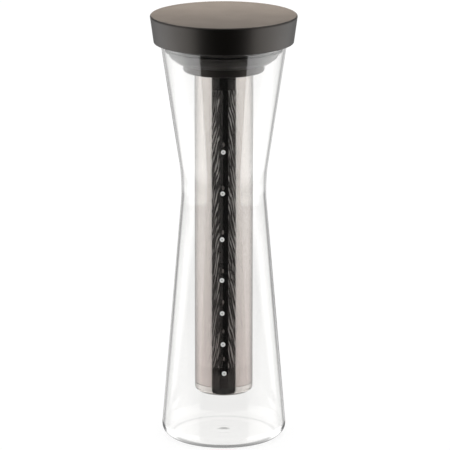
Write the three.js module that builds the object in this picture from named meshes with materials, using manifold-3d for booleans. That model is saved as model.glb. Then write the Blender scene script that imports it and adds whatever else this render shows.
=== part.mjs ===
// Cold brew coffee maker: a glass carafe, a black lid with a sealed stopper, and a steel filter tube.
// A threaded collar holds the filter in the stopper's socket, and the lid lifts out with the filter on it.
// Millimetres, +Z up, origin at the middle of the carafe's foot. The filter's lapped seam faces -Y.

import * as THREE from "three";
import { mergeVertices } from "three/addons/utils/BufferGeometryUtils.js";
import Module from "manifold-3d";

const wasm = await Module();
wasm.setup();

// Clearances
const GAP = 0.3; // between two pieces that touch or run on each other
const SINK = 0.5; // how far a joined ridge is sunk into its wall

// Facets
const ROUND_SEGMENTS = 40; // round a full turn
const ARC_STEP = THREE.MathUtils.degToRad(22.5); // largest turn between two points of a rounded corner
const SHARED_ROOM = 0.5; // share of a side that a rounding may take where its other end is rounded too
const WHOLE_ROOM = 0.9; // the same share where the other end is sharp
const WAIST_STEPS = 5; // along the carafe's long waist curve
const THREAD_STEPS = 24; // along one turn of a thread

// Filter tube: a sheet rolled up and lapped along a blank margin
const FILTER_RADIUS = 21.7;
const SHEET = 0.5;
const SEAM_WIDTH = 6.1;
const SEAM_RISE = 0.3;
const SEAM_STEPS = 4;
const FILTER_LIFT = 34.8; // height of the filter's bottom over the table
const CUP_HEIGHT = 6.4; // height of the part of the cup that shows under the tube
const CUP_WALL = 0.6;
const CUP_ROUND = 3;
const CUP_SPIGOT = 6; // how far the cup reaches up inside the tube
const FERRULE_WALL = 0.6;
const FERRULE_SKIRT = 10;
const FERRULE_FLANGE = 0.8;
const FLANGE_INSET = 0.2; // the flange is this much smaller than the collar's neck
const GASKET = 2;

// Collar: the filter hangs in it by its ferrule, and its threaded neck screws up into the stopper
const COLLAR_WALL = 3.65;
const COLLAR_FLANGE = 3.95;
const COLLAR_HEIGHT = 5.9;
const COLLAR_ROUND = 1;
const NECK_HEIGHT = 11.6;
const THREAD_DEPTH = 1.5;
const THREAD_PITCH = 4;
const THREAD_TURNS = 1.5;
const THREAD_ROOT = 2; // width of a ridge where it leaves its wall
const THREAD_CREST = 1.2;
const THREAD_CLEARANCE = 0.4; // from a crest to the opposite wall
const THREAD_SOCKET_DEPTH = 1.1; // height of the ridge inside the socket
const THREAD_START = 2.5; // from the stopper's bottom to the middle of its ridge

// Stopper: cored inside, so that the lid's spigot plugs into it
const SOCKET_WALL = 2.2;
const GROOVE_WIDTH = 5.5;
const PLUG_WALL = 2.2;
const STOPPER_PLATE = 2.4;
const STOPPER_WEB = 2;
const STOPPER_ROUND = 3;

// Silicone boot over the stopper, with two lips and a flange that lies on the carafe's rim
const BOOT_WALL = 2.8;
const BOOT_WEB = 2;
const BOOT_TAPER_WIDTH = 6.85; // the boot narrows by this much towards its bottom
const BOOT_TAPER_HEIGHT = 5.4;
const BOOT_TOE_ROUND = 5;
const BOOT_SHOULDER_ROUND = 6;
const BOOT_FLANGE = 0.6;
const BOOT_OPENING = 0.8; // how much wider than the socket the boot's bottom is open
const LIP_HEIGHTS = [1.6, 4.3]; // from the flange down to the middle of each lip
const LIP_ROOT = 2;
const LIP_TIP = 0.9;

// Lid
const LID_HEIGHT = 20.2;
const LID_OVERHANG = 5.05;
const LID_FLARE = 2.8;
const LID_WALL = 2.6;
const LID_TOP = 2.8;
const LID_ROUND = 1.1;
const LID_INNER_ROUND = 1.5;
const LID_SPIGOT = 2;

// Carafe: two cones that meet in a rounded waist
const CARAFE_HEIGHT = 298.9;
const GLASS_WALL = 2;
const MOUTH_CLEARANCE = 3.6; // from the boot to the glass, at the rim
const RIM_ROUND = 0.9;
const WAIST_HEIGHT = 193.9;
const WAIST_CLEARANCE = 6.85; // from the filter to the glass, where the two cones would meet
const WAIST_ROUND = 119;
const BASE_FLARE = 16.45; // from the waist out to where the lower cone would meet the table
const BASE_ROUND = 12.4;
const FLOOR_THICKNESS = 1.7;
const FOOT_WIDTH = 5; // flat ring that the carafe stands on
const PUNT_RISE = 0.8; // how far the middle of the floor is pushed up
const PUNT_CROWN = 0.3; // level middle of the floor, as a share of the foot's inside
const PUNT_ROUND = 60;
const PIP_RADIUS = 1.5; // shallow dimple in the middle of the underside
const PIP_DEPTH = 0.4;
const PIP_SLOPE = 4.5;

// Radii, from the filter outwards
const seamRadius = FILTER_RADIUS + SEAM_RISE;
const sheetInside = FILTER_RADIUS - SHEET;
const spigotRadius = sheetInside - GAP; // of the ferrule and the cup, where they enter the tube
const ferruleInside = spigotRadius - FERRULE_WALL;
const collarBore = seamRadius + GAP;
const neckRadius = collarBore + COLLAR_WALL;
const collarRadius = neckRadius + COLLAR_FLANGE;
const threadRadius = neckRadius + THREAD_DEPTH;
const socketRadius = threadRadius + THREAD_CLEARANCE;
const grooveInner = socketRadius + SOCKET_WALL;
const grooveOuter = grooveInner + GROOVE_WIDTH;
const plugRadius = grooveOuter + PLUG_WALL;
const bootInside = plugRadius + GAP;
const bootRadius = bootInside + BOOT_WALL;
const mouthInside = bootRadius + MOUTH_CLEARANCE;
const mouthRadius = mouthInside + GLASS_WALL;
const lidBottomRadius = mouthRadius + LID_OVERHANG;
const lidTopRadius = lidBottomRadius + LID_FLARE;
const waistInside = FILTER_RADIUS + WAIST_CLEARANCE;
const waistRadius = waistInside + GLASS_WALL;
const baseRadius = waistRadius + BASE_FLARE;
const flangeRadius = neckRadius - FLANGE_INSET;
const bootToe = bootRadius - BOOT_TAPER_WIDTH;

// Heights, from the carafe's rim
const bootTop = CARAFE_HEIGHT + GAP + BOOT_FLANGE;
const bootFlangeBottom = CARAFE_HEIGHT + GAP;
const plateBottom = bootTop + GAP; // underside of the stopper's plate, and the socket's ceiling
const plateTop = plateBottom + STOPPER_PLATE;
const lidBottom = bootTop;
const lidTop = lidBottom + LID_HEIGHT;
const gasketTop = plateBottom - GAP;
const gasketBottom = gasketTop - GASKET;
const ferruleTop = gasketBottom - GAP;
const ferruleFlange = ferruleTop - FERRULE_FLANGE;
const tubeTop = ferruleFlange - GAP;
const collarTop = tubeTop - NECK_HEIGHT; // top of the collar's visible ring
const collarBottom = collarTop - COLLAR_HEIGHT;
const bootBottom = collarTop + GAP;
const webBottom = bootBottom + BOOT_WEB + GAP;
const webTop = webBottom + STOPPER_WEB;
const cupTop = FILTER_LIFT + CUP_HEIGHT;
const tubeBottom = cupTop + GAP;
const tubeLength = tubeTop - tubeBottom;

// Materials
function finish(color, roughness, metalness, more = {}) {
  return new THREE.MeshStandardMaterial({ color, roughness, metalness, ...more });
}
const clearGlass = finish(0xf4f8f7, 0.02, 0, { transparent: true, opacity: 0.3 });
const blackResin = finish(0x1c1a19, 0.42, 0);
const blackSilicone = finish(0x232220, 0.6, 0);
const polishedSteel = finish(0xb9b4b0, 0.16, 1);

// Outlines and solids of revolution
// A corner is [radius, height, rounding, steps]; the last two may be left out.
function roundedOutline(corners, loop) {
  const points = [];
  const count = corners.length;
  corners.forEach(([radius, height, round = 0, steps], index) => {
    const corner = new THREE.Vector2(radius, height);
    const open = !loop && (index === 0 || index === count - 1);
    if (!round || open) {
      points.push(corner);
      return;
    }
    const sides = [corners[(index + count - 1) % count], corners[(index + 1) % count]];
    const [before, after] = sides.map(([r, z]) => new THREE.Vector2(r, z).sub(corner));
    const half = Math.acos(before.dot(after) / (before.length() * after.length())) / 2;
    const [roomBefore, roomAfter] = sides.map(([, , other]) => (other ? SHARED_ROOM : WHOLE_ROOM));
    const room = Math.min(before.length() * roomBefore, after.length() * roomAfter);
    const reach = Math.min(round / Math.tan(half), room);
    const arcRadius = reach * Math.tan(half);
    const start = before.clone().setLength(reach).add(corner);
    const end = after.clone().setLength(reach).add(corner);
    const toCentre = before.normalize().add(after.normalize());
    const centre = toCentre.setLength(arcRadius / Math.sin(half)).add(corner);
    const turn = Math.PI - 2 * half;
    const parts = steps ?? Math.ceil(turn / ARC_STEP);
    const from = start.clone().sub(centre);
    const sense = Math.sign(from.cross(end.clone().sub(centre)));
    for (let part = 0; part <= parts; part += 1) {
      const angle = (sense * turn * part) / parts;
      points.push(from.clone().rotateAround(new THREE.Vector2(), angle).add(centre));
    }
  });
  if (loop) points.push(points[0].clone());
  return points;
}

function turned(corners, loop = false) {
  const outline = roundedOutline(corners, loop);
  return new THREE.LatheGeometry(outline, ROUND_SEGMENTS).rotateX(Math.PI / 2);
}

// Booleans
function solidOf(geometry) {
  const bare = geometry.clone();
  bare.deleteAttribute("normal");
  bare.deleteAttribute("uv");
  const merged = mergeVertices(bare);
  return new wasm.Manifold(
    new wasm.Mesh({
      numProp: 3,
      vertProperties: new Float32Array(merged.attributes.position.array),
      triVerts: new Uint32Array(merged.index.array),
    }),
  );
}

function geometryOf(solid) {
  const mesh = solid.getMesh();
  const geometry = new THREE.BufferGeometry();
  geometry.setAttribute("position", new THREE.BufferAttribute(mesh.vertProperties, mesh.numProp));
  geometry.setIndex(new THREE.BufferAttribute(mesh.triVerts, 1));
  geometry.computeVertexNormals();
  return geometry;
}

// Screw threads: a ridge of four-sided section along a right-hand helix, run out to nothing at its two ends
function helicalRidge(rootRadius, crestRadius, startHeight) {
  const sections = THREAD_TURNS * THREAD_STEPS;
  const positions = [];
  for (let step = 0; step <= sections; step += 1) {
    const angle = (step / THREAD_STEPS) * 2 * Math.PI;
    const height = startHeight + (step / THREAD_STEPS) * THREAD_PITCH;
    const atEnd = step === 0 || step === sections;
    const crest = atEnd ? rootRadius : crestRadius;
    const root = rootRadius + Math.sign(rootRadius - crestRadius) * SINK;
    const section = [
      [root, -THREAD_ROOT / 2],
      [crest, -THREAD_CREST / 2],
      [crest, THREAD_CREST / 2],
      [root, THREAD_ROOT / 2],
    ];
    for (const [radius, rise] of section) {
      positions.push(radius * Math.cos(angle), radius * Math.sin(angle), height + rise);
    }
  }
  const index = [];
  const sides = 4;
  for (let step = 0; step < sections; step += 1) {
    for (let side = 0; side < sides; side += 1) {
      const here = step * sides + side;
      const beside = step * sides + ((side + 1) % sides);
      index.push(here, here + sides, beside, beside, here + sides, beside + sides);
    }
  }
  const last = sections * sides;
  index.push(0, 1, 2, 0, 2, 3);
  index.push(last, last + 2, last + 1, last, last + 3, last + 2);
  if (crestRadius < rootRadius) index.reverse();
  const geometry = new THREE.BufferGeometry();
  geometry.setAttribute("position", new THREE.Float32BufferAttribute(positions, 3));
  geometry.setIndex(index);
  return geometry;
}

// The stopper's ridge, and the collar's ridge that hangs on it with a gap between their flanks
const socketRidgeStart = webBottom + THREAD_START;
const neckRidgeStart = socketRidgeStart + (THREAD_ROOT + THREAD_CREST) / 2 + GAP - THREAD_PITCH;

// Carafe
const lowerSlope = BASE_FLARE / WAIST_HEIGHT;
const upperSlope = (mouthInside - waistInside) / (CARAFE_HEIGHT - WAIST_HEIGHT);

function glassInside(height) {
  return mouthInside - (CARAFE_HEIGHT - height) * upperSlope;
}

function carafeGeometry() {
  const cornerHalf = (Math.PI / 2 - Math.atan(lowerSlope)) / 2;
  const footOuter = baseRadius - BASE_ROUND / Math.tan(cornerHalf);
  const footInner = footOuter - FOOT_WIDTH;
  const puntRadius = footInner * PUNT_CROWN;
  const innerRound = BASE_ROUND - GLASS_WALL;
  const innerBase = baseRadius - GLASS_WALL - lowerSlope * FLOOR_THICKNESS;
  return turned([
    [0, PUNT_RISE + PIP_DEPTH],
    [PIP_RADIUS, PUNT_RISE + PIP_DEPTH],
    [PIP_RADIUS + PIP_SLOPE, PUNT_RISE],
    [puntRadius, PUNT_RISE, PUNT_ROUND],
    [footInner, 0],
    [baseRadius, 0, BASE_ROUND],
    [waistRadius, WAIST_HEIGHT, WAIST_ROUND, WAIST_STEPS],
    [mouthRadius, CARAFE_HEIGHT, RIM_ROUND],
    [mouthInside, CARAFE_HEIGHT, RIM_ROUND],
    [waistInside, WAIST_HEIGHT, WAIST_ROUND + GLASS_WALL, WAIST_STEPS],
    [innerBase, FLOOR_THICKNESS, innerRound],
    [footInner, FLOOR_THICKNESS, PUNT_ROUND],
    [puntRadius, FLOOR_THICKNESS + PUNT_RISE, PUNT_ROUND],
    [0, FLOOR_THICKNESS + PUNT_RISE],
  ]);
}

// The boot's taper, and the surfaces inside it that run parallel to it at a depth
const taperSlope = BOOT_TAPER_HEIGHT / BOOT_TAPER_WIDTH;
const taperSpread = Math.hypot(BOOT_TAPER_WIDTH, BOOT_TAPER_HEIGHT) / BOOT_TAPER_WIDTH;
const plugDepth = BOOT_WALL + GAP;
const grooveDepth = plugDepth + PLUG_WALL;

function taperHeight(radius, depth) {
  return bootBottom + (radius - bootToe) * taperSlope + depth * taperSpread;
}

function taperRadius(height, depth) {
  return bootToe + (height - taperHeight(bootToe, depth)) / taperSlope;
}

// Lid and stopper
function lidGeometry() {
  const spigotOuter = grooveOuter - GAP;
  const spigotInner = spigotOuter - LID_SPIGOT;
  const spigotBottom = taperHeight(grooveOuter, grooveDepth) + GAP;
  const ceiling = lidTop - LID_TOP;
  const ceilingRadius = lidTopRadius - LID_WALL - (LID_FLARE * LID_TOP) / LID_HEIGHT;
  return turned([
    [0, ceiling],
    [spigotInner, ceiling],
    [spigotInner, spigotBottom],
    [spigotOuter, spigotBottom],
    [spigotOuter, ceiling],
    [ceilingRadius, ceiling, LID_INNER_ROUND],
    [lidBottomRadius - LID_WALL, lidBottom],
    [lidBottomRadius, lidBottom, LID_ROUND],
    [lidTopRadius, lidTop, LID_ROUND],
    [0, lidTop],
  ]);
}

function stopperGeometry() {
  const plateRadius = lidBottomRadius - LID_WALL - GAP;
  const body = turned([
    [0, plateBottom],
    [socketRadius, plateBottom],
    [socketRadius, webBottom],
    [taperRadius(webBottom, plugDepth), webBottom, STOPPER_ROUND],
    [plugRadius, taperHeight(plugRadius, plugDepth), STOPPER_ROUND],
    [plugRadius, plateBottom],
    [plateRadius, plateBottom],
    [plateRadius, plateTop],
    [grooveOuter, plateTop],
    [grooveOuter, taperHeight(grooveOuter, grooveDepth)],
    [taperRadius(webTop, grooveDepth), webTop],
    [grooveInner, webTop],
    [grooveInner, plateTop],
    [0, plateTop],
  ]);
  const crest = socketRadius - THREAD_SOCKET_DEPTH;
  const ridge = helicalRidge(socketRadius, crest, socketRidgeStart);
  return geometryOf(solidOf(body).add(solidOf(ridge)));
}

function bootGeometry() {
  const opening = socketRadius + BOOT_OPENING;
  const webFloor = bootBottom + BOOT_WEB;
  const flangeOuter = mouthRadius - GAP;
  const lips = [...LIP_HEIGHTS].reverse().flatMap((below) => {
    const middle = bootFlangeBottom - below;
    const tip = glassInside(middle - LIP_ROOT / 2) - GAP;
    return [
      [bootRadius, middle - LIP_ROOT / 2],
      [tip, middle - LIP_TIP / 2],
      [tip, middle + LIP_TIP / 2],
      [bootRadius, middle + LIP_ROOT / 2],
    ];
  });
  return turned(
    [
      [opening, bootBottom],
      [bootToe, bootBottom, BOOT_TOE_ROUND],
      [bootRadius, bootBottom + BOOT_TAPER_HEIGHT, BOOT_SHOULDER_ROUND],
      ...lips,
      [bootRadius, bootFlangeBottom],
      [flangeOuter, bootFlangeBottom],
      [flangeOuter, bootTop],
      [bootInside, bootTop],
      [bootInside, taperHeight(bootInside, BOOT_WALL), STOPPER_ROUND + GAP],
      [taperRadius(webFloor, BOOT_WALL), webFloor, STOPPER_ROUND + GAP],
      [opening, webFloor],
    ],
    true,
  );
}

// Filter: collar, gasket, ferrule, tube and cup
function collarGeometry() {
  const body = turned(
    [
      [collarBore, collarBottom],
      [collarRadius, collarBottom, COLLAR_ROUND],
      [collarRadius, collarTop],
      [neckRadius, collarTop],
      [neckRadius, tubeTop],
      [collarBore, tubeTop],
    ],
    true,
  );
  const ridge = helicalRidge(neckRadius, threadRadius, neckRidgeStart);
  return geometryOf(solidOf(body).add(solidOf(ridge)));
}

function gasketGeometry() {
  return turned(
    [
      [ferruleInside, gasketBottom],
      [flangeRadius, gasketBottom],
      [flangeRadius, gasketTop],
      [ferruleInside, gasketTop],
    ],
    true,
  );
}

function ferruleGeometry() {
  const skirtBottom = ferruleFlange - FERRULE_SKIRT;
  return turned(
    [
      [ferruleInside, skirtBottom],
      [spigotRadius, skirtBottom],
      [spigotRadius, ferruleFlange],
      [flangeRadius, ferruleFlange],
      [flangeRadius, ferruleTop],
      [ferruleInside, ferruleTop],
    ],
    true,
  );
}

function cupGeometry() {
  const cupInside = FILTER_RADIUS - CUP_WALL;
  const spigotInside = spigotRadius - CUP_WALL;
  return turned([
    [0, FILTER_LIFT],
    [FILTER_RADIUS, FILTER_LIFT, CUP_ROUND],
    [FILTER_RADIUS, cupTop],
    [spigotRadius, cupTop],
    [spigotRadius, cupTop + CUP_SPIGOT],
    [spigotInside, cupTop + CUP_SPIGOT],
    [spigotInside, cupTop - CUP_WALL],
    [cupInside, cupTop - CUP_WALL],
    [cupInside, FILTER_LIFT + CUP_WALL, CUP_ROUND - CUP_WALL],
    [0, FILTER_LIFT + CUP_WALL],
  ]);
}

function arcPoints(radius, from, to, steps) {
  return Array.from({ length: steps + 1 }, (_, step) => {
    const angle = from + ((to - from) * step) / steps;
    return new THREE.Vector2(radius * Math.cos(angle), radius * Math.sin(angle));
  });
}

const seamAngle = -Math.PI / 2;

function tubeGeometry() {
  const halfSeam = SEAM_WIDTH / 2 / seamRadius;
  const lapStart = seamAngle - halfSeam;
  const lapEnd = seamAngle + halfSeam;
  const outline = new THREE.Shape([
    ...arcPoints(FILTER_RADIUS, lapEnd, lapStart + 2 * Math.PI, ROUND_SEGMENTS),
    ...arcPoints(seamRadius, lapStart, lapEnd, SEAM_STEPS),
  ]);
  const bore = arcPoints(sheetInside, 0, 2 * Math.PI, ROUND_SEGMENTS).slice(0, -1);
  outline.holes.push(new THREE.Path(bore));
  const sheet = new THREE.ExtrudeGeometry(outline, { depth: tubeLength, bevelEnabled: false });
  return sheet.translate(0, 0, tubeBottom);
}

// Assembly
function piece(name, geometry, material) {
  const mesh = new THREE.Mesh(geometry, material);
  mesh.name = name;
  return mesh;
}

const carafe = new THREE.Group();
carafe.add(piece("glass_carafe", carafeGeometry(), clearGlass));

const stopper = new THREE.Group();
stopper.add(
  piece("lid_shell", lidGeometry(), blackResin),
  piece("stopper_body", stopperGeometry(), blackResin),
  piece("stopper_boot", bootGeometry(), blackSilicone),
);

const filter = new THREE.Group();
filter.add(
  piece("filter_collar", collarGeometry(), blackResin),
  piece("filter_gasket", gasketGeometry(), blackSilicone),
  piece("filter_ferrule", ferruleGeometry(), polishedSteel),
  piece("filter_tube", tubeGeometry(), polishedSteel),
  piece("filter_cup", cupGeometry(), polishedSteel),
);

const coffeeMaker = new THREE.Group();
coffeeMaker.add(carafe, stopper, filter);

export default coffeeMaker;
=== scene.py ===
import math

import bmesh
import bpy
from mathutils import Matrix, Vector


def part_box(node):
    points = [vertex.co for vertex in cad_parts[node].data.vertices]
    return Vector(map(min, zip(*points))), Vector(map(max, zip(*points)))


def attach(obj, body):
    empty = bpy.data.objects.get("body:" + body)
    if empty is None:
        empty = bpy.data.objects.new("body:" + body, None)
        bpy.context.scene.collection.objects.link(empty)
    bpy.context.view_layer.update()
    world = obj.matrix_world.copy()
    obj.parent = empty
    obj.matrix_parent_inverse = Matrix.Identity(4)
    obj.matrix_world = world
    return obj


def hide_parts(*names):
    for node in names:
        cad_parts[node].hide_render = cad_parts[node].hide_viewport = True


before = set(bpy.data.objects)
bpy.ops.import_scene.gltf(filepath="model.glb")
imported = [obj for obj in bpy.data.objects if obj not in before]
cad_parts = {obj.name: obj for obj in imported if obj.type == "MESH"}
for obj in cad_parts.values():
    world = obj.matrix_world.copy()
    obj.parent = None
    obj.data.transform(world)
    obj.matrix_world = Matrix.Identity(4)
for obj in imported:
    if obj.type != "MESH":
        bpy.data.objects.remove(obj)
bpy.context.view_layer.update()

# Lengths are in millimetres, and each piece is scaled to metres as it is finished. GAP parts two pieces.
MM = 0.001
GAP = 0.3

# Filter tube, cup and ferrule
FILTER_RADIUS = 21.7
SHEET = 0.5
SEAM_WIDTH = 6.1
SEAM_RISE = 0.3
CUP_WALL = 0.6
CUP_ROUND = 3.0
CUP_SPIGOT = 6.0
JOINT_ROUND = 0.25
FERRULE_WALL = 0.6
FERRULE_FLANGE = 0.8
FERRULE_ROUND = 0.2

# Collar and thread
COLLAR_WALL = 3.65
COLLAR_FLANGE = 3.95
COLLAR_HEIGHT = 5.9
COLLAR_ROUND = 1.0
COLLAR_EDGE = 0.3
THREAD_DEPTH = 1.5
THREAD_PITCH = 4.0
THREAD_TURNS = 1.5
THREAD_ROOT = 2.0
THREAD_CREST = 1.2
THREAD_CLEARANCE = 0.4
THREAD_SOCKET_DEPTH = 1.1
THREAD_START = 2.5
THREAD_SINK = 0.5

# Stopper and silicone boot
SOCKET_WALL = 2.2
GROOVE_WIDTH = 5.5
PLUG_WALL = 2.2
STOPPER_PLATE = 2.4
STOPPER_WEB = 2.0
STOPPER_ROUND = 3.0
STOPPER_EDGE = 0.4
BOOT_WALL = 2.8
BOOT_WEB = 2.0
BOOT_TAPER_WIDTH = 6.85
BOOT_TAPER_HEIGHT = 5.4
BOOT_TOE_ROUND = 5.0
BOOT_SHOULDER_ROUND = 6.0
BOOT_EDGE = 0.5
BOOT_FLANGE = 0.6
BOOT_OPENING = 0.8
LIP_HEIGHTS = (1.6, 4.3)
LIP_ROOT = 2.0
LIP_TIP = 0.9
LIP_ROUND = 0.3

# Lid
LID_OVERHANG = 5.05
LID_FLARE = 2.8
LID_WALL = 2.6
LID_TOP = 2.8
LID_ROUND = 1.1
LID_FOOT_ROUND = 0.5
LID_INNER_ROUND = 1.5
LID_SPIGOT = 2.0

# Carafe
GLASS_WALL = 2.0
MOUTH_CLEARANCE = 3.6
RIM_ROUND = 0.9
WAIST_HEIGHT = 193.9
WAIST_CLEARANCE = 6.85
WAIST_ROUND = 119.0
BASE_FLARE = 16.45
BASE_ROUND = 12.4
FLOOR_THICKNESS = 1.7
FOOT_WIDTH = 5.0
PUNT_RISE = 0.8
PUNT_CROWN = 0.3
PUNT_ROUND = 60.0
PIP_RADIUS = 1.5
PIP_DEPTH = 0.17
PIP_SLOPE = 4.5
PIP_ROUND = 30.0

# Level marks on the front of the glass: each one's height and its small sideways drift from the middle
MARK_HEIGHTS = (58.5, 80.3, 103.5, 128.2, 158.5, 192.7, 224.7)
MARK_DRIFTS = (0.3, -0.59, -1.18, -1.39, -1.25, -0.85, -0.36)
MARK_RADIUS = 1.7
MARK_THICKNESS = 0.05
MARK_LIFT = 0.005

# Smoothness. The two shares are what a rounding may take of an edge whose other end is round or is sharp.
ROUND_STEPS = 180
SUPPORT = 0.4
ROUNDED_EDGE_SHARE = 0.5
SHARP_EDGE_SHARE = 0.9
ARC_STEPS = 8
WAIST_STEPS = 40
THREAD_STEPS = 72
MARK_STEPS = 32
MERGE_DISTANCE = 1e-4
CREASE = math.radians(30)

# Heights read from the frame
carafe_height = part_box("glass_carafe")[1].z / MM
lid_bottom = carafe_height + GAP + BOOT_FLANGE
lid_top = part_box("lid_shell")[1].z / MM
spigot_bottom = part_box("lid_shell")[0].z / MM
filter_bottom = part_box("filter_cup")[0].z / MM
tube_bottom, tube_top = (corner.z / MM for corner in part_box("filter_tube"))
cup_top = tube_bottom - GAP
gasket_bottom, gasket_top = (corner.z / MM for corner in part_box("filter_gasket"))
ferrule_bottom, ferrule_top = (corner.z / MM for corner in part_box("filter_ferrule"))
collar_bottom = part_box("filter_collar")[0].z / MM
collar_top = collar_bottom + COLLAR_HEIGHT
boot_bottom, boot_top = (corner.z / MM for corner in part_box("stopper_boot"))
plate_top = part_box("stopper_body")[1].z / MM
web_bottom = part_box("stopper_body")[0].z / MM
web_top = web_bottom + STOPPER_WEB
plate_bottom = plate_top - STOPPER_PLATE

# Radii, from the filter outwards
seam_radius = FILTER_RADIUS + SEAM_RISE
sheet_inside = FILTER_RADIUS - SHEET
spigot_radius = sheet_inside - GAP
ferrule_inside = spigot_radius - FERRULE_WALL
collar_bore = seam_radius + GAP
neck_radius = collar_bore + COLLAR_WALL
collar_radius = neck_radius + COLLAR_FLANGE
thread_radius = neck_radius + THREAD_DEPTH
socket_radius = thread_radius + THREAD_CLEARANCE
groove_inner = socket_radius + SOCKET_WALL
groove_outer = groove_inner + GROOVE_WIDTH
plug_radius = groove_outer + PLUG_WALL
boot_inside = plug_radius + GAP
boot_radius = boot_inside + BOOT_WALL
mouth_inside = boot_radius + MOUTH_CLEARANCE
mouth_radius = mouth_inside + GLASS_WALL
lid_bottom_radius = mouth_radius + LID_OVERHANG
lid_top_radius = lid_bottom_radius + LID_FLARE
waist_inside = FILTER_RADIUS + WAIST_CLEARANCE
waist_radius = waist_inside + GLASS_WALL
base_radius = waist_radius + BASE_FLARE
flange_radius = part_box("filter_gasket")[1].x / MM
lower_slope = BASE_FLARE / WAIST_HEIGHT
upper_slope = (mouth_inside - waist_inside) / (carafe_height - WAIST_HEIGHT)

# The boot's taper, and the surfaces inside it that run parallel to it at a depth
boot_toe = boot_radius - BOOT_TAPER_WIDTH
taper_slope = BOOT_TAPER_HEIGHT / BOOT_TAPER_WIDTH
taper_spread = math.hypot(BOOT_TAPER_WIDTH, BOOT_TAPER_HEIGHT) / BOOT_TAPER_WIDTH
plug_depth = BOOT_WALL + GAP
groove_depth = plug_depth + PLUG_WALL


def taper_height(radius, depth):
    return boot_bottom + (radius - boot_toe) * taper_slope + depth * taper_spread


def taper_radius(height, depth):
    return boot_toe + (height - taper_height(boot_toe, depth)) / taper_slope


# Meshes
def draw_outline(mesh, corners, loop):
    """Draws a chain of corners in the XZ plane. A corner is (radius, height, rounding, steps)."""
    points = [Vector((radius, 0, height)) for radius, height, *_ in corners]
    verts = [mesh.verts.new(point) for point in points]
    for start, end in zip(verts, verts[1:]):
        mesh.edges.new((start, end))
    if loop:
        mesh.edges.new((verts[-1], verts[0]))
    for index, (vert, (_, _, *rounding)) in enumerate(zip(verts, corners)):
        if not rounding:
            continue
        others = index - 1, (index + 1) % len(points)
        sides = [points[other] - points[index] for other in others]
        shares = [ROUNDED_EDGE_SHARE if len(corners[other]) > 2 else SHARP_EDGE_SHARE for other in others]
        reach = rounding[0] / math.tan(sides[0].angle(sides[1]) / 2)
        reach = min(reach, *(side.length * share for side, share in zip(sides, shares)))
        bmesh.ops.bevel(
            mesh, geom=[vert], offset=reach, segments=rounding[1] if len(rounding) > 1 else ARC_STEPS,
            profile=0.5, affect="VERTICES", material=-1,
        )
    add_end_supports(mesh)


def add_end_supports(mesh):
    """Splits each long straight edge close to its ends, so that its shading stays flat next to a rounding."""
    for edge in [edge for edge in mesh.edges if edge.calc_length() > 3 * SUPPORT]:
        for vert in edge.verts[:]:
            bmesh.utils.edge_split(edge, vert, SUPPORT / edge.calc_length())


def spin_outline(mesh):
    bmesh.ops.spin(
        mesh, geom=mesh.verts[:] + mesh.edges[:], cent=(0, 0, 0), axis=(0, 0, 1),
        angle=2 * math.pi, steps=ROUND_STEPS, use_merge=True,
    )
    bmesh.ops.remove_doubles(mesh, verts=mesh.verts, dist=MERGE_DISTANCE)
    bmesh.ops.recalc_face_normals(mesh, faces=mesh.faces)


def finish_piece(mesh, name, body, finish, *nodes):
    """Scales the mesh to metres and makes it a piece that rides on a body in place of its CAD nodes."""
    material, slot = finish
    bmesh.ops.scale(mesh, vec=(MM, MM, MM), verts=mesh.verts)
    for face in mesh.faces:
        face.smooth = True
    for edge in mesh.edges:
        edge.smooth = edge.is_manifold and edge.calc_face_angle(0) < CREASE
    data = bpy.data.meshes.new(name)
    mesh.to_mesh(data)
    mesh.free()
    piece = bpy.data.objects.new(name, data)
    bpy.context.scene.collection.objects.link(piece)
    piece.data.materials.append(material)
    if nodes:
        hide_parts(*nodes)
    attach(piece, body)
    return piece


def turned(name, body, finish, corners, node, loop=False):
    mesh = bmesh.new()
    draw_outline(mesh, corners, loop)
    spin_outline(mesh)
    return finish_piece(mesh, name, body, finish, node)


def add_thread(mesh, root_radius, crest_radius, start_height):
    """Adds a right-hand screw ridge, sunk a little into the wall that carries it."""
    sink = THREAD_SINK if crest_radius < root_radius else -THREAD_SINK
    root = root_radius + sink
    section = (
        (root, -THREAD_ROOT / 2), (crest_radius, -THREAD_CREST / 2),
        (crest_radius, THREAD_CREST / 2), (root, THREAD_ROOT / 2),
    )
    verts = [mesh.verts.new((radius, 0, start_height + rise)) for radius, rise in section]
    face = mesh.faces.new(verts)
    steps = round(THREAD_TURNS * THREAD_STEPS)
    swept = bmesh.ops.spin(
        mesh, geom=[face, *face.edges, *face.verts], cent=(0, 0, 0), axis=(0, 0, 1),
        dvec=(0, 0, THREAD_PITCH / THREAD_STEPS), angle=2 * math.pi * THREAD_TURNS, steps=steps,
    )
    last = [item for item in swept["geom_last"] if isinstance(item, bmesh.types.BMVert)]
    for ends in (verts, last):
        for vert in ends:
            flat = Vector((vert.co.x, vert.co.y, 0))
            if abs(flat.length - crest_radius) < abs(flat.length - root):
                vert.co.xy *= root_radius / flat.length
    bmesh.ops.recalc_face_normals(mesh, faces=mesh.faces)


# Nodes
def add_node(tree, kind, **settings):
    node = tree.nodes.new(kind)
    for key, value in settings.items():
        setattr(node, key, value)
    return node


def feed(tree, socket, value):
    """Links another node's output to the socket, or sets the socket to a plain value."""
    if isinstance(value, bpy.types.NodeSocket):
        tree.links.new(value, socket)
    else:
        socket.default_value = value


def arithmetic(tree, operation, *values):
    node = add_node(tree, "ShaderNodeMath", operation=operation)
    for socket, value in zip(node.inputs, values):
        feed(tree, socket, value)
    return node.outputs[0]


def product(tree, first, *others):
    for other in others:
        first = arithmetic(tree, "MULTIPLY", first, other)
    return first


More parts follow.
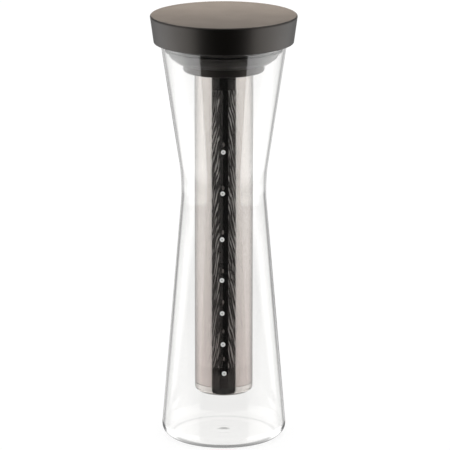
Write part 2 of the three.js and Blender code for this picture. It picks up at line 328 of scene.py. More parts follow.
def map_range(tree, value, low, high, to_low=0.0, to_high=1.0, smooth=False):
    node = add_node(tree, "ShaderNodeMapRange", interpolation_type="SMOOTHSTEP" if smooth else "LINEAR")
    tree.links.new(value, node.inputs["Value"])
    for name, number in zip(("From Min", "From Max", "To Min", "To Max"), (low, high, to_low, to_high)):
        node.inputs[name].default_value = number
    return node.outputs["Result"]


def separate(tree, vector):
    node = add_node(tree, "ShaderNodeSeparateXYZ")
    tree.links.new(vector, node.inputs[0])
    return node.outputs["X"], node.outputs["Y"], node.outputs["Z"]


def mix_values(tree, factor, first, second):
    node = add_node(tree, "ShaderNodeMix", data_type="FLOAT")
    for name, value in (("Factor", factor), ("A", first), ("B", second)):
        feed(tree, node.inputs[name], value)
    return node.outputs["Result"]


def mix_colours(tree, factor, first, second, blend="MIX"):
    """Mixes two colours, of which each is given as three numbers or is another node's output."""
    node = add_node(tree, "ShaderNodeMix", data_type="RGBA", blend_type=blend)
    sockets = {item.name: item for item in node.inputs if item.type == "RGBA"}
    feed(tree, node.inputs["Factor"], factor)
    for name, value in (("A", first), ("B", second)):
        feed(tree, sockets[name], (*value, 1) if isinstance(value, tuple) else value)
    return next(item for item in node.outputs if item.type == "RGBA")


def light_path_mix(tree, shown, plain, *rays):
    """Gives one value to the named kinds of rays and another to all the rest."""
    path = add_node(tree, "ShaderNodeLightPath")
    chosen = path.outputs[rays[0]]
    for name in rays[1:]:
        chosen = arithmetic(tree, "MAXIMUM", chosen, path.outputs[name])
    return mix_values(tree, chosen, plain, shown)


def add_bump(tree, shader, height, distance, strength):
    bump = add_node(tree, "ShaderNodeBump")
    bump.inputs["Distance"].default_value = distance * MM
    bump.inputs["Strength"].default_value = strength
    tree.links.new(height, bump.inputs["Height"])
    tree.links.new(bump.outputs["Normal"], shader.inputs["Normal"])


GRAIN_DETAIL = 3.0


def make_grain_group():
    """Noise on a piece's own coordinates, which each material places at its own scale and stretch."""
    group = bpy.data.node_groups.new("object_grain", "ShaderNodeTree")
    group.interface.new_socket("Scale", in_out="INPUT", socket_type="NodeSocketFloat")
    group.interface.new_socket("Stretch", in_out="INPUT", socket_type="NodeSocketVector")
    group.interface.new_socket("Grain", in_out="OUTPUT", socket_type="NodeSocketFloat")
    given = add_node(group, "NodeGroupInput")
    result = add_node(group, "NodeGroupOutput")
    coordinates = add_node(group, "ShaderNodeTexCoord")
    mapping = add_node(group, "ShaderNodeMapping")
    noise = add_node(group, "ShaderNodeTexNoise")
    noise.inputs["Detail"].default_value = GRAIN_DETAIL
    group.links.new(coordinates.outputs["Object"], mapping.inputs["Vector"])
    group.links.new(given.outputs["Stretch"], mapping.inputs["Scale"])
    group.links.new(mapping.outputs["Vector"], noise.inputs["Vector"])
    group.links.new(given.outputs["Scale"], noise.inputs["Scale"])
    group.links.new(noise.outputs["Fac"], result.inputs["Grain"])
    return group


grain_group = make_grain_group()


def place_grain(tree, scale, stretch=(1, 1, 1)):
    node = add_node(tree, "ShaderNodeGroup", node_tree=grain_group)
    node.inputs["Scale"].default_value = scale
    node.inputs["Stretch"].default_value = stretch
    return node.outputs["Grain"]


# Materials
def new_material(name):
    material = bpy.data.materials.new(name)
    material.use_nodes = True
    tree = material.node_tree
    return material, tree, tree.nodes["Principled BSDF"]


# Clear glass with a faint ripple
GLASS_COLOUR = (0.99, 0.988, 0.982, 1)
GLASS_INDEX = 1.474
RIPPLE_SCALE = 45.0
RIPPLE_DEPTH = 0.01
RIPPLE_STRENGTH = 0.3


def make_glass():
    material, tree, shader = new_material("clear_glass")
    shader.inputs["Base Color"].default_value = GLASS_COLOUR
    shader.inputs["Roughness"].default_value = 0.0
    shader.inputs["IOR"].default_value = GLASS_INDEX
    shader.inputs["Transmission Weight"].default_value = 1.0
    add_bump(tree, shader, place_grain(tree, RIPPLE_SCALE), RIPPLE_DEPTH, RIPPLE_STRENGTH)
    return material


# Black resin with a fine grain and soft clouds. The collar's copy is a little lighter than the lid's: painted
# light, for the light the collar gets inside the glass.
LID_BLACK = 0.003
COLLAR_LIT_BLACK = 0.017
BLACK_SHARES = (1.0, 0.85, 0.75)
BLACK_INDEX = 1.5
RESIN_TINT = (1.0, 0.92, 0.85, 1)
RESIN_ROUGHNESS = 0.32
RESIN_GRAIN_SCALE = 1400.0
RESIN_CLOUD_SCALE = 60.0
RESIN_UNEVENNESS = 0.06
RESIN_GRAIN_DEPTH = 0.02
RESIN_GRAIN_STRENGTH = 0.5


def make_resin(name, level):
    material, tree, shader = new_material(name)
    shader.inputs["Base Color"].default_value = (*(level * share for share in BLACK_SHARES), 1)
    shader.inputs["IOR"].default_value = BLACK_INDEX
    shader.inputs["Specular Tint"].default_value = RESIN_TINT
    grain = place_grain(tree, RESIN_GRAIN_SCALE)
    cloud = product(tree, place_grain(tree, RESIN_CLOUD_SCALE), RESIN_UNEVENNESS)
    uneven = arithmetic(tree, "MULTIPLY_ADD", grain, RESIN_UNEVENNESS, cloud)
    tree.links.new(arithmetic(tree, "ADD", uneven, RESIN_ROUGHNESS), shader.inputs["Roughness"])
    add_bump(tree, shader, grain, RESIN_GRAIN_DEPTH, RESIN_GRAIN_STRENGTH)
    return material


# Black silicone, a little lighter and duller than the resin
SILICONE_COLOUR = (0.037, 0.033, 0.029, 1)
SILICONE_ROUGHNESS = 0.38
SILICONE_UNEVENNESS = 0.08
SILICONE_GRAIN_SCALE = 900.0
SILICONE_GRAIN_DEPTH = 0.03
SILICONE_GRAIN_STRENGTH = 0.4


def make_silicone():
    material, tree, shader = new_material("black_silicone")
    shader.inputs["Base Color"].default_value = SILICONE_COLOUR
    shader.inputs["IOR"].default_value = BLACK_INDEX
    grain = place_grain(tree, SILICONE_GRAIN_SCALE)
    rough = arithmetic(tree, "MULTIPLY_ADD", grain, SILICONE_UNEVENNESS, SILICONE_ROUGHNESS)
    tree.links.new(rough, shader.inputs["Roughness"])
    add_bump(tree, shader, grain, SILICONE_GRAIN_DEPTH, SILICONE_GRAIN_STRENGTH)
    return material


# Polished steel of the cup and the ferrule, with faint lines along its length
CUP_COLOUR = (0.525, 0.498, 0.475, 1)
CUP_METALLIC = 0.985
CUP_ROUGHNESS = 0.063
CUP_LINE_ROUGHNESS = 0.05
CUP_LINE_SCALE = 300.0
CUP_LINE_STRETCH = (1, 1, 0.02)


def make_steel():
    material, tree, shader = new_material("steel_sheet")
    shader.inputs["Base Color"].default_value = CUP_COLOUR
    shader.inputs["Metallic"].default_value = CUP_METALLIC
    lines = place_grain(tree, CUP_LINE_SCALE, CUP_LINE_STRETCH)
    rough = arithmetic(tree, "MULTIPLY_ADD", lines, CUP_LINE_ROUGHNESS, CUP_ROUGHNESS)
    tree.links.new(rough, shader.inputs["Roughness"])
    return material


# Holes of the tube, in staggered rows between blank ends, painted as dark spots: painted shade for the dark
# inside of the tube
HOLE_PITCH = 0.9
HOLE_ROW = 0.78
HOLE_RADIUS = 0.15
HOLE_EDGE = 0.05
HOLES_FROM = 57.0
HOLES_TO = 268.0
HOLES_FADE = 0.5
SEAM_FADE = 0.3

# Colours of the tube, which is darker and browner low down, with a faint upright grain
SHEET_COLOUR = (0.575, 0.545, 0.52)
BLANK_COLOUR = (0.5, 0.472, 0.45)
# The holes' colour is painted shade.
HOLE_SHADE_COLOUR = (0.05, 0.047, 0.044)
WHITE = (1.0, 1.0, 1.0)
LOW_COLOUR = (0.88, 0.83, 0.825)
LOW_FROM = 60.0
LOW_TO = 205.0
SHEET_NOISE_DETAIL = 2.0
GRAIN_WIDTH = 0.9
GRAIN_LENGTH = 70.0
GRAIN_NOISE = (0.3, 0.7)
GRAIN_LEVELS = (0.965, 1.03)

# Dull lines beside the seam, which are painted light: streaks of duller metal that take up the plain light
# and stand in for the light that the holes throw there. They lean, drift, and fade out in patches.
DULL_ZONE = 9.1
DULL_EDGE = 0.25
LINE_PITCH = 1.9
LINE_LEAN = 0.21
LINE_WAVE = (0.12, 0.42)
DRIFT_WIDTH = 5.0
DRIFT_LENGTH = 34.0
DRIFT_LINES = 3.0
DRIFT_PLACE = 8.0
PATCH_WIDTH = 1.8
PATCH_LENGTH = 16.0
PATCH_PLACE = 5.0
PATCH_NOISE = (0.4, 0.62)
PATCH_LEVELS = (0.1, 1.0)

# How dull each part of the tube is, as the share by which it is less than metal, and how rough
OUTER_DULLNESS = 0.03
END_DULLNESS = 0.08
ROWS_DULLNESS = 0.085
# The lines' dullness paints glints.
GLINT_LINE_DULLNESS = 0.7
LAP_STEP = (-0.8, -0.4)
LAP_DULLNESS = (0.08, 0.003)
LAP_END_DULLNESS = 0.008
SHEET_ROUGHNESS = 0.09
LINE_ROUGHNESS = 0.12
SEAM_ROUGHNESS = 0.045


def sheet_position(tree):
    """Where a point is on the unrolled tube, in millimetres: round from the middle of the seam, and up."""
    x, y, z = separate(tree, add_node(tree, "ShaderNodeTexCoord").outputs["Object"])
    turn = arithmetic(tree, "ARCTAN2", x, product(tree, y, -1.0))
    return product(tree, turn, FILTER_RADIUS), arithmetic(tree, "DIVIDE", z, MM)


def sheet_noise(tree, across, up, width, length, place=0.0):
    """Noise on the unrolled tube, in spots of about the given width and length."""
    spot = add_node(tree, "ShaderNodeCombineXYZ")
    tree.links.new(arithmetic(tree, "DIVIDE", across, width), spot.inputs["X"])
    tree.links.new(arithmetic(tree, "DIVIDE", up, length), spot.inputs["Y"])
    feed(tree, spot.inputs["Z"], place)
    noise = add_node(tree, "ShaderNodeTexNoise")
    noise.inputs["Scale"].default_value = 1.0
    noise.inputs["Detail"].default_value = SHEET_NOISE_DETAIL
    tree.links.new(spot.outputs["Vector"], noise.inputs["Vector"])
    return noise.outputs["Fac"]


def hole_mask(tree, across, up):
    """Round holes, of which every second row is shifted by half a pitch."""
    row = arithmetic(tree, "DIVIDE", up, HOLE_ROW)
    shift = product(tree, arithmetic(tree, "FLOORED_MODULO", arithmetic(tree, "FLOOR", row), 2.0), 0.5)
    column = arithmetic(tree, "ADD", arithmetic(tree, "DIVIDE", across, HOLE_PITCH), shift)
    squares = []
    for place, pitch in ((column, HOLE_PITCH), (row, HOLE_ROW)):
        offset = product(tree, arithmetic(tree, "SUBTRACT", arithmetic(tree, "FRACT", place), 0.5), pitch)
        squares.append(product(tree, offset, offset))
    distance = arithmetic(tree, "SQRT", arithmetic(tree, "ADD", *squares))
    return map_range(tree, distance, HOLE_RADIUS, HOLE_RADIUS + HOLE_EDGE, 1.0, 0.0)


# Painted glints: leaning streaks of duller metal beside the seam.
def painted_glint_lines(tree, across, side, up):
    leaning = arithmetic(tree, "MULTIPLY_ADD", up, LINE_LEAN, side)
    drift = product(tree, sheet_noise(tree, across, up, DRIFT_WIDTH, DRIFT_LENGTH, DRIFT_PLACE), DRIFT_LINES)
    phase = arithmetic(tree, "ADD", arithmetic(tree, "DIVIDE", leaning, LINE_PITCH), drift)
    wave = arithmetic(tree, "ABSOLUTE", arithmetic(tree, "SUBTRACT", arithmetic(tree, "FRACT", phase), 0.5))
    glint_line = map_range(tree, wave, *LINE_WAVE, smooth=True)
    place = product(tree, arithmetic(tree, "SIGN", across), PATCH_PLACE)
    spots = sheet_noise(tree, leaning, up, PATCH_WIDTH, PATCH_LENGTH, place)
    return product(tree, glint_line, map_range(tree, spots, *PATCH_NOISE, *PATCH_LEVELS, smooth=True))


def sheet_colour(tree, across, up, rows, hole):
    plain = mix_colours(tree, rows, BLANK_COLOUR, SHEET_COLOUR)
    # The holes are painted shade on the sheet.
    sheet = mix_colours(tree, hole, plain, HOLE_SHADE_COLOUR)
    low = mix_colours(tree, map_range(tree, up, LOW_FROM, LOW_TO), LOW_COLOUR, WHITE)
    tinted = mix_colours(tree, 1.0, sheet, low, "MULTIPLY")
    spots = sheet_noise(tree, across, up, GRAIN_WIDTH, GRAIN_LENGTH)
    grain = map_range(tree, spots, *GRAIN_NOISE, *GRAIN_LEVELS)
    return mix_colours(tree, 1.0, tinted, grain, "MULTIPLY")


def sheet_dullness(tree, across, side, rows, off_seam, glint_line):
    # The lines add painted glints to the dullness.
    lines = arithmetic(tree, "MULTIPLY_ADD", glint_line, GLINT_LINE_DULLNESS, ROWS_DULLNESS)
    in_zone = map_range(tree, side, DULL_ZONE - DULL_EDGE, DULL_ZONE + DULL_EDGE, 1.0, 0.0)
    dull = mix_values(tree, in_zone, OUTER_DULLNESS, mix_values(tree, rows, END_DULLNESS, lines))
    lap = map_range(tree, across, *LAP_STEP, *LAP_DULLNESS)
    return mix_values(tree, off_seam, mix_values(tree, rows, LAP_END_DULLNESS, lap), dull)


def make_perforated_steel():
    """Sheet with rows of fine holes, painted dark as shade, between its ends, blank and mirror bright along
    its seam.
    """
    material, tree, shader = new_material("perforated_sheet")
    across, up = sheet_position(tree)
    side = arithmetic(tree, "ABSOLUTE", across)
    off_seam = map_range(tree, side, SEAM_WIDTH / 2, SEAM_WIDTH / 2 + SEAM_FADE)
    above = map_range(tree, up, HOLES_FROM - HOLES_FADE, HOLES_FROM)
    below = map_range(tree, up, HOLES_TO, HOLES_TO + HOLES_FADE, 1.0, 0.0)
    rows = product(tree, above, below)
    field = product(tree, rows, off_seam)
    hole = product(tree, hole_mask(tree, across, up), field)
    glint_line = product(tree, painted_glint_lines(tree, across, side, up), field)
    tree.links.new(sheet_colour(tree, across, up, rows, hole), shader.inputs["Base Color"])
    dull = sheet_dullness(tree, across, side, rows, off_seam, glint_line)
    tree.links.new(arithmetic(tree, "SUBTRACT", 1.0, dull), shader.inputs["Metallic"])
    rough = arithmetic(tree, "MULTIPLY_ADD", glint_line, LINE_ROUGHNESS, SHEET_ROUGHNESS)
    tree.links.new(mix_values(tree, off_seam, SEAM_ROUGHNESS, rough), shader.inputs["Roughness"])
    return material


# White enamel, with painted shade that darkens the middle of each mark
ENAMEL_COLOUR = (0.84, 0.84, 0.82)
ENAMEL_SHADE_COLOUR = (0.42, 0.42, 0.41)
ENAMEL_SHADE_SHARES = (0.25, 0.6)
ENAMEL_ROUGHNESS = 0.4


def make_enamel():
    material, tree, shader = new_material("white_enamel")
    from_middle, _, _ = separate(tree, add_node(tree, "ShaderNodeUVMap", uv_map="rim").outputs["UV"])
    shade_fade = map_range(tree, from_middle, *ENAMEL_SHADE_SHARES, smooth=True)
    # Painted shade in the middle of each mark.
    tree.links.new(mix_colours(tree, shade_fade, ENAMEL_SHADE_COLOUR, ENAMEL_COLOUR), shader.inputs["Base Color"])
    shader.inputs["Roughness"].default_value = ENAMEL_ROUGHNESS
    return material


# Pieces
def make_carafe(finish):
    corner_half = (math.pi / 2 - math.atan(lower_slope)) / 2
    foot_outer = base_radius - BASE_ROUND / math.tan(corner_half)
    foot_inner = foot_outer - FOOT_WIDTH
    punt_radius = foot_inner * PUNT_CROWN
    inner_base = base_radius - GLASS_WALL - lower_slope * FLOOR_THICKNESS
    return turned(
        "glass_carafe_blown", "carafe", finish,
        [
            (0, PUNT_RISE + PIP_DEPTH),
            (PIP_RADIUS, PUNT_RISE + PIP_DEPTH, PIP_ROUND),
            (PIP_RADIUS + PIP_SLOPE, PUNT_RISE, PIP_ROUND),
            (punt_radius, PUNT_RISE, PUNT_ROUND),
            (foot_inner, 0, PUNT_ROUND),
            (base_radius, 0, BASE_ROUND, 2 * ARC_STEPS),
            (waist_radius, WAIST_HEIGHT, WAIST_ROUND, WAIST_STEPS),
            (mouth_radius, carafe_height, RIM_ROUND),
            (mouth_inside, carafe_height, RIM_ROUND),
            (waist_inside, WAIST_HEIGHT, WAIST_ROUND + GLASS_WALL, WAIST_STEPS),
            (inner_base, FLOOR_THICKNESS, BASE_ROUND - GLASS_WALL, 2 * ARC_STEPS),
            (foot_inner, FLOOR_THICKNESS, PUNT_ROUND),
            (punt_radius, FLOOR_THICKNESS + PUNT_RISE, PUNT_ROUND),
            (0, FLOOR_THICKNESS + PUNT_RISE),
        ],
        "glass_carafe",
    )


def make_lid(finish):
    spigot_outer = groove_outer - GAP
    spigot_inner = spigot_outer - LID_SPIGOT
    ceiling = lid_top - LID_TOP
    ceiling_radius = lid_top_radius - LID_WALL - LID_FLARE * LID_TOP / (lid_top - lid_bottom)
    return turned(
        "lid_cap", "stopper", finish,
        [
            (0, ceiling),
            (spigot_inner, ceiling),
            (spigot_inner, spigot_bottom),
            (spigot_outer, spigot_bottom),
            (spigot_outer, ceiling),
            (ceiling_radius, ceiling, LID_INNER_ROUND),
            (lid_bottom_radius - LID_WALL, lid_bottom, STOPPER_EDGE),
            (lid_bottom_radius, lid_bottom, LID_FOOT_ROUND),
            (lid_top_radius, lid_top, LID_ROUND),
            (0, lid_top),
        ],
        "lid_shell",
    )


def make_stopper(finish):
    plate_radius = lid_bottom_radius - LID_WALL - GAP
    mesh = bmesh.new()
    draw_outline(
        mesh,
        [
            (0, plate_bottom),
            (socket_radius, plate_bottom),
            (socket_radius, web_bottom, STOPPER_EDGE),
            (taper_radius(web_bottom, plug_depth), web_bottom, STOPPER_ROUND),
            (plug_radius, taper_height(plug_radius, plug_depth), STOPPER_ROUND),
            (plug_radius, plate_bottom),
            (plate_radius, plate_bottom, STOPPER_EDGE),
            (plate_radius, plate_top, STOPPER_EDGE),
            (groove_outer, plate_top),
            (groove_outer, taper_height(groove_outer, groove_depth)),
            (taper_radius(web_top, groove_depth), web_top),
            (groove_inner, web_top),
            (groove_inner, plate_top),
            (0, plate_top),
        ],
        False,
    )
    spin_outline(mesh)
    add_thread(mesh, socket_radius, socket_radius - THREAD_SOCKET_DEPTH, web_bottom + THREAD_START)
    return finish_piece(mesh, "stopper_socket", "stopper", finish, "stopper_body")


def make_boot(finish):
    opening = socket_radius + BOOT_OPENING
    web_floor = boot_bottom + BOOT_WEB
    flange_bottom = boot_top - BOOT_FLANGE
    lips = []
    for below in sorted(LIP_HEIGHTS, reverse=True):
        middle = flange_bottom - below
        tip = mouth_inside - (carafe_height - middle + LIP_ROOT / 2) * upper_slope - GAP
        lips += [
            (boot_radius, middle - LIP_ROOT / 2),
            (tip, middle - LIP_TIP / 2, LIP_ROUND),
            (tip, middle + LIP_TIP / 2, LIP_ROUND),
            (boot_radius, middle + LIP_ROOT / 2),
        ]
    return turned(
        "stopper_seal", "stopper", finish,
        [
            (opening, boot_bottom, BOOT_EDGE),
            (boot_toe, boot_bottom, BOOT_TOE_ROUND),
            (boot_radius, boot_bottom + BOOT_TAPER_HEIGHT, BOOT_SHOULDER_ROUND),
            *lips,
            (boot_radius, flange_bottom),
            (mouth_radius - GAP, flange_bottom),
            (mouth_radius - GAP, boot_top),
            (boot_inside, boot_top),
            (boot_inside, taper_height(boot_inside, BOOT_WALL), STOPPER_ROUND + GAP),
            (taper_radius(web_floor, BOOT_WALL), web_floor, STOPPER_ROUND + GAP),
            (opening, web_floor, BOOT_EDGE),
        ],
        "stopper_boot", loop=True,
    )


def make_collar(finish):
    mesh = bmesh.new()
    draw_outline(
        mesh,
        [
            (collar_bore, collar_bottom, COLLAR_EDGE),
            (collar_radius, collar_bottom, COLLAR_ROUND),
            (collar_radius, collar_top, COLLAR_EDGE),
            (neck_radius, collar_top),
            (neck_radius, tube_top, COLLAR_EDGE),
            (collar_bore, tube_top),
        ],
        True,
    )
    spin_outline(mesh)
    rise = (THREAD_ROOT + THREAD_CREST) / 2 + GAP - THREAD_PITCH
    add_thread(mesh, neck_radius, thread_radius, web_bottom + THREAD_START + rise)
    return finish_piece(mesh, "threaded_collar", "filter", finish, "filter_collar")


def make_gasket(finish):
    return turned(
        "rim_gasket", "gasket", finish,
        [
            (ferrule_inside, gasket_bottom, FERRULE_ROUND),
            (flange_radius, gasket_bottom, FERRULE_ROUND),
            (flange_radius, gasket_top, FERRULE_ROUND),
            (ferrule_inside, gasket_top, FERRULE_ROUND),
        ],
        "filter_gasket", loop=True,
    )


def make_ferrule(finish):
    flange_bottom = ferrule_top - FERRULE_FLANGE
    return turned(
        "rim_ferrule", "filter", finish,
        [
            (ferrule_inside, ferrule_bottom),
            (spigot_radius, ferrule_bottom),
            (spigot_radius, flange_bottom),
            (flange_radius, flange_bottom, FERRULE_ROUND),
            (flange_radius, ferrule_top, FERRULE_ROUND),
            (ferrule_inside, ferrule_top, FERRULE_ROUND),
        ],
        "filter_ferrule", loop=True,
    )


def make_tube(finish):
    mesh = bmesh.new()
    draw_outline(
        mesh,
        [
            (sheet_inside, tube_bottom), (FILTER_RADIUS, tube_bottom),
            (FILTER_RADIUS, tube_top), (sheet_inside, tube_top),
        ],
        True,
    )
    spin_outline(mesh)
    half_seam = SEAM_WIDTH / 2 / FILTER_RADIUS
    strip = []
    for face in mesh.faces:
        middle = face.calc_center_median()
        if middle.xy.length > (sheet_inside + FILTER_RADIUS) / 2 and abs(face.normal.z) < 0.5:
            if abs(math.atan2(middle.x, -middle.y)) < half_seam:
                strip.append(face)
    raised = bmesh.ops.extrude_face_region(mesh, geom=strip)["geom"]
    for item in raised:
        if isinstance(item, bmesh.types.BMVert):
            item.co.xy *= seam_radius / FILTER_RADIUS
    bmesh.ops.recalc_face_normals(mesh, faces=mesh.faces)
    return finish_piece(mesh, "perforated_tube", "filter", finish, "filter_tube")


def make_cup(finish):
    cup_inside = FILTER_RADIUS - CUP_WALL
    spigot_inside = spigot_radius - CUP_WALL
    return turned(
        "tube_end_cup", "filter", finish,
        [
            (0, filter_bottom),
            (FILTER_RADIUS, filter_bottom, CUP_ROUND),
            (FILTER_RADIUS, cup_top, JOINT_ROUND),
            (spigot_radius, cup_top),
            (spigot_radius, cup_top + CUP_SPIGOT),
            (spigot_inside, cup_top + CUP_SPIGOT),
            (spigot_inside, cup_top - CUP_WALL),
            (cup_inside, cup_top - CUP_WALL),
            (cup_inside, filter_bottom + CUP_WALL, CUP_ROUND - CUP_WALL),
            (0, filter_bottom + CUP_WALL),
        ],
        "filter_cup",
    )


def make_marks(finish, carafe):
    """The level marks are thin enamel discs that lie on the front of the glass and follow its slope."""
    mesh = bmesh.new()
    rim = mesh.loops.layers.uv.new("rim")
    for height, drift in zip(MARK_HEIGHTS, MARK_DRIFTS):
        disc = bmesh.ops.create_circle(
            mesh, cap_ends=True, cap_tris=True, radius=MARK_RADIUS, segments=MARK_STEPS,
        )["verts"]
        faces = list({face for vert in disc for face in vert.link_faces})
        front = bmesh.ops.extrude_face_region(mesh, geom=faces, use_keep_orig=True)["geom"]
        raised = {item for item in front if isinstance(item, bmesh.types.BMVert)}
        for vert in [*disc, *raised]:
            for loop in vert.link_loops:
                loop[rim].uv = (vert.co.xy.length / MARK_RADIUS, 0.5)
            across, up = vert.co.x + drift, vert.co.y
            start = Vector((across, -2 * base_radius, height + up)) * MM
            _, spot, _, _ = carafe.ray_cast(start, Vector((0, 1, 0)))
            lift = MARK_THICKNESS if vert in raised else MARK_LIFT
            vert.co = (across, spot.y / MM - lift, height + up)
    bmesh.ops.recalc_face_normals(mesh, faces=mesh.faces)
    return finish_piece(mesh, "level_marks", "carafe", finish)


# Camera
CAMERA_DISTANCE = 2560.0
CAMERA_HEIGHT = 812.2
CAMERA_SIDE = 0.89
CAMERA_PITCH = math.radians(14.27)
CAMERA_LENS = 284.4
CAMERA_SENSOR = 36
CAMERA_REACH = 100


def make_camera():
    data = bpy.data.cameras.new("camera")
    data.lens = CAMERA_LENS
    data.sensor_width = CAMERA_SENSOR
    data.clip_end = CAMERA_REACH
    camera = bpy.data.objects.new("camera", data)
    camera.location = (CAMERA_SIDE * MM, -CAMERA_DISTANCE * MM, CAMERA_HEIGHT * MM)
    camera.rotation_euler = (math.pi / 2 - CAMERA_PITCH, 0, 0)
    bpy.context.scene.collection.objects.link(camera)
    bpy.context.scene.camera = camera


# Floor
FLOOR_REACH = 4000.0
FLOOR_COLOUR = 0.5
FLOOR_SHADE = 0.15
FLOOR_GLOW = 0.89
FLOOR_ROUGHNESS = 0.9


def make_floor():
    """A white table, clear from below. Most of its white is a glow for the camera, so shadows stay pale."""
    material, tree, shader = new_material("floor_white")
    shade = light_path_mix(tree, FLOOR_SHADE, FLOOR_COLOUR, "Is Camera Ray")
    glow = light_path_mix(tree, FLOOR_GLOW, 0.0, "Is Camera Ray")
    geometry = add_node(tree, "ShaderNodeNewGeometry")
    clear = arithmetic(tree, "SUBTRACT", 1.0, geometry.outputs["Backfacing"])
    for name, value in (("Base Color", shade), ("Emission Strength", glow), ("Alpha", clear)):
        tree.links.new(value, shader.inputs[name])
    shader.inputs["Roughness"].default_value = FLOOR_ROUGHNESS
    shader.inputs["Specular IOR Level"].default_value = 0.0
    shader.inputs["Emission Color"].default_value = (*WHITE, 1)
    mesh = bmesh.new()
    bmesh.ops.create_grid(mesh, size=FLOOR_REACH * MM)
    data = bpy.data.meshes.new("floor")
    mesh.to_mesh(data)
    mesh.free()
    floor = bpy.data.objects.new("floor", data)
    floor.data.materials.append(material)
    floor.visible_glossy = False
    floor.visible_transmission = False
    bpy.context.scene.collection.objects.link(floor)


# The surround that glass, steel and gloss mirror. Directions are in degrees: round from the camera's side,
# where 180 is straight behind the object, and up from the table. A level of 1 is white.
SIDE_LEVELS = (
    (-90, 0.4), (-60, 0.5), (-42, 0.8), (-33, 2.45), (-24, 2.35), (-17, 1.0), (-15.5, 1.13), (-14, 1.17),
    (-11.5, 1.33), (-9.5, 1.0), (-8.2, 0.85), (-5, 0.75), (2, 0.8), (12, 1.1), (90, 1.1),
)
SIDE_SHARES = (
    (0, 0.8), (50, 1.05), (65, 1.22), (90, 1.25), (108, 1.12),
    (125, 0.8), (142, 0.5), (155, 0.36), (180, 0.34),
)
BACK_LEVELS = (
    (-90, 0.2), (-60, 0.2), (-40, 0.2), (-20, 0.3), (-3, 0.8), (3, 0.2), (40, 0.35), (90, 1.1),
)
THROUGH_LEVELS = (
    (-90, 1.0), (-25, 0.99), (-19, 0.99), (-17, 0.99), (-16.2, 1.01), (-15, 0.97),
    (-14.2, 0.97), (-13.6, 0.95), (-13, 0.83), (-11.5, 0.72), (-6, 0.93), (90, 1.0),
)
THROUGH_SHARES = ((0, 1.0), (108, 1.0), (125, 0.97), (142, 0.88), (155, 0.82), (180, 0.82))
BACK_FADE = (158, 165)
PLAIN_LEVEL = 0.95

# The dark front, which ends high overhead and is a little lighter in the edges of the glass
FRONT_FADE = (46.5, 48.5)
OVERHEAD_FADE = (40, 55)
FRONT_LEVEL = 0.005
EDGE_FRONT_LEVEL = 0.06

# A ray that crossed more faces of glass than this was mirrored by the far wall or by what stands inside.
DEEP_FACES = 3.5

# Heights that the far wall and the near wall of the lower glass mirror to the camera, dimmed for them alone
DEEP_HEIGHT = -25.5
DEEP_FADE = (3.5, 5.0)
DEEP_SHARE = 0.02
VEIL_HEIGHT = -5.0
VEIL_FADE = (3.5, 4.5)
VEIL_SHARE = 0.05

# What the sides lose near the back, what they gain there low down, and what the back keeps far down
GRAZING_TURN = (135, 155)
GRAZING_FADE = (-23, -21)
GRAZING_LOSS = 0.3
LOW_TURN = (70, 150)
LOW_FADE = (-14.2, -13.4)
LOW_GAIN = 0.6
UNDER_FADE = (-32, -22)
UNDER_SHARE = 0.3


def fade(tree, angle, ends, start=0.0, end=1.0):
    """Goes evenly from one value to another as an angle crosses from the first of two ends to the second."""
    return map_range(tree, angle, *(math.radians(degrees) for degrees in ends), start, end)


def ramp(tree, angle, stops):
    """A curve over an angle through (degrees, level) stops, with straight lines between them."""
    node = add_node(tree, "ShaderNodeFloatCurve")
    curve = node.mapping.curves[0]
    node.mapping.use_clip = False
    low, high = stops[0][0], stops[-1][0]
    while len(curve.points) < len(stops):
        curve.points.new(0.5, 0.5)
    for point, (degrees, level) in zip(curve.points, stops):
        point.location = ((degrees - low) / (high - low), level)
        point.handle_type = "VECTOR"
    node.mapping.update()
    tree.links.new(fade(tree, angle, (low, high)), node.inputs["Value"])
    return node.outputs["Value"]


def side_light(tree, azimuth, elevation, was_deep, was_shallow):
    """The bright sides, dimmed where the glass would mirror them over what the photo shows inside."""
    side = product(tree, ramp(tree, elevation, SIDE_LEVELS), ramp(tree, azimuth, SIDE_SHARES))
    for chosen, height, ends, share in (
        (was_deep, DEEP_HEIGHT, DEEP_FADE, DEEP_SHARE),
        (was_shallow, VEIL_HEIGHT, VEIL_FADE, VEIL_SHARE),
    ):
        off = arithmetic(tree, "ABSOLUTE", arithmetic(tree, "SUBTRACT", elevation, math.radians(height)))
        side = product(tree, side, mix_values(tree, chosen, 1.0, fade(tree, off, ends, share, 1.0)))
    loss = fade(tree, azimuth, GRAZING_TURN, 0.0, GRAZING_LOSS)
    not_deep = arithmetic(tree, "SUBTRACT", 1.0, was_deep)
    loss = product(tree, loss, not_deep, fade(tree, elevation, GRAZING_FADE))
    low = fade(tree, elevation, LOW_FADE, 1.0, 0.0)
    gain = arithmetic(tree, "MULTIPLY_ADD", low, fade(tree, azimuth, LOW_TURN, 0.0, LOW_GAIN), 1.0)
    return product(tree, side, arithmetic(tree, "SUBTRACT", 1.0, loss), gain)


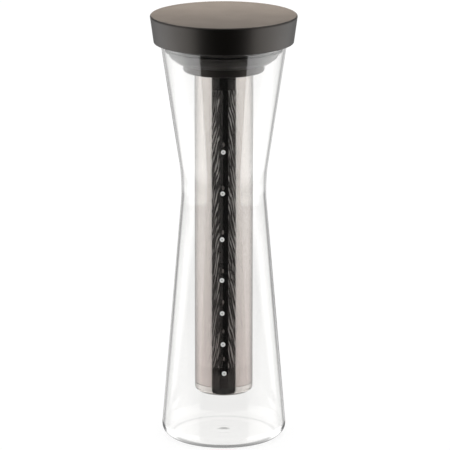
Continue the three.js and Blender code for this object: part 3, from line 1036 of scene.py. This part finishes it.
def make_world():
    """Plain light on dull pieces, a white surround through the glass, and a dark front in what mirrors it."""
    world = bpy.data.worlds.new("studio")
    bpy.context.scene.world = world
    world.use_nodes = True
    tree = world.node_tree
    x, y, z = separate(tree, add_node(tree, "ShaderNodeTexCoord").outputs["Generated"])
    azimuth = arithmetic(tree, "ARCTAN2", arithmetic(tree, "ABSOLUTE", x), product(tree, y, -1.0))
    elevation = arithmetic(tree, "ARCSINE", z)
    path = add_node(tree, "ShaderNodeLightPath")
    was_mirrored = arithmetic(tree, "GREATER_THAN", path.outputs["Glossy Depth"], 0.5)
    was_through = arithmetic(tree, "GREATER_THAN", path.outputs["Transmission Depth"], 0.5)
    was_deep = arithmetic(tree, "GREATER_THAN", path.outputs["Transmission Depth"], DEEP_FACES)
    was_shallow = arithmetic(tree, "SUBTRACT", was_through, was_deep)

    to_back = fade(tree, azimuth, BACK_FADE)
    clear_back = ramp(tree, elevation, THROUGH_LEVELS)
    through = mix_values(tree, to_back, ramp(tree, azimuth, THROUGH_SHARES), clear_back)
    clear_under = product(tree, clear_back, fade(tree, elevation, UNDER_FADE, UNDER_SHARE, 1.0))
    back = mix_values(tree, was_through, ramp(tree, elevation, BACK_LEVELS), clear_under)
    side = side_light(tree, azimuth, elevation, was_deep, was_shallow)
    around = mix_values(tree, to_back, side, back)
    overhead = fade(tree, elevation, OVERHEAD_FADE)
    off_front = arithmetic(tree, "MAXIMUM", fade(tree, azimuth, FRONT_FADE), overhead)
    front = mix_values(tree, was_shallow, FRONT_LEVEL, EDGE_FRONT_LEVEL)
    around = mix_values(tree, off_front, front, around)
    around = mix_values(tree, was_mirrored, through, around)
    mirrored = light_path_mix(tree, around, PLAIN_LEVEL, "Is Glossy Ray", "Is Transmission Ray")
    background = tree.nodes["Background"]
    background.inputs["Color"].default_value = (*WHITE, 1)
    tree.links.new(light_path_mix(tree, 1.0, mirrored, "Is Camera Ray"), background.inputs["Strength"])


# Lamp
LAMP_WIDTH = 170.0
LAMP_HEIGHT = 22.0
LAMP_DISTANCE = 134.0
LAMP_RISE = 25.0
LAMP_TURN = math.radians(-80)
LAMP_POWER = 0.034
LAMP_COLOUR = (1.0, 0.84, 0.7)


def make_lamp():
    """A low warm strip close behind the lid, which the back of the lid's top mirrors more than its front."""
    data = bpy.data.lights.new("strip_lamp", "AREA")
    data.shape = "RECTANGLE"
    data.size = LAMP_WIDTH * MM
    data.size_y = LAMP_HEIGHT * MM
    data.energy = LAMP_POWER
    data.color = LAMP_COLOUR
    lamp = bpy.data.objects.new("strip_lamp", data)
    lamp.location = (0, LAMP_DISTANCE * MM, (lid_top + LAMP_RISE) * MM)
    lamp.rotation_euler = (LAMP_TURN, 0, 0)
    lamp.visible_camera = False
    lamp.visible_transmission = False
    bpy.context.scene.collection.objects.link(lamp)


# Finishes, each with its slot, and the pieces that wear them
glass = make_glass(), "clear_glass"
resin = make_resin("black_resin", LID_BLACK), "black_resin"
# The collar's lighter copy of the resin is painted light.
lit_collar_resin = make_resin("lit_collar_resin", COLLAR_LIT_BLACK), "black_resin"
silicone = make_silicone(), "black_silicone"
steel = make_steel(), "polished_steel"
perforated = make_perforated_steel(), "polished_steel"
enamel = make_enamel(), None

make_camera()
make_world()
make_lamp()
make_floor()
make_marks(enamel, make_carafe(glass))
make_lid(resin)
make_stopper(resin)
make_boot(silicone)
make_collar(lit_collar_resin)
make_gasket(silicone)
make_ferrule(steel)
make_tube(perforated)
make_cup(steel)

bpy.context.scene.view_settings.view_transform = "Standard"
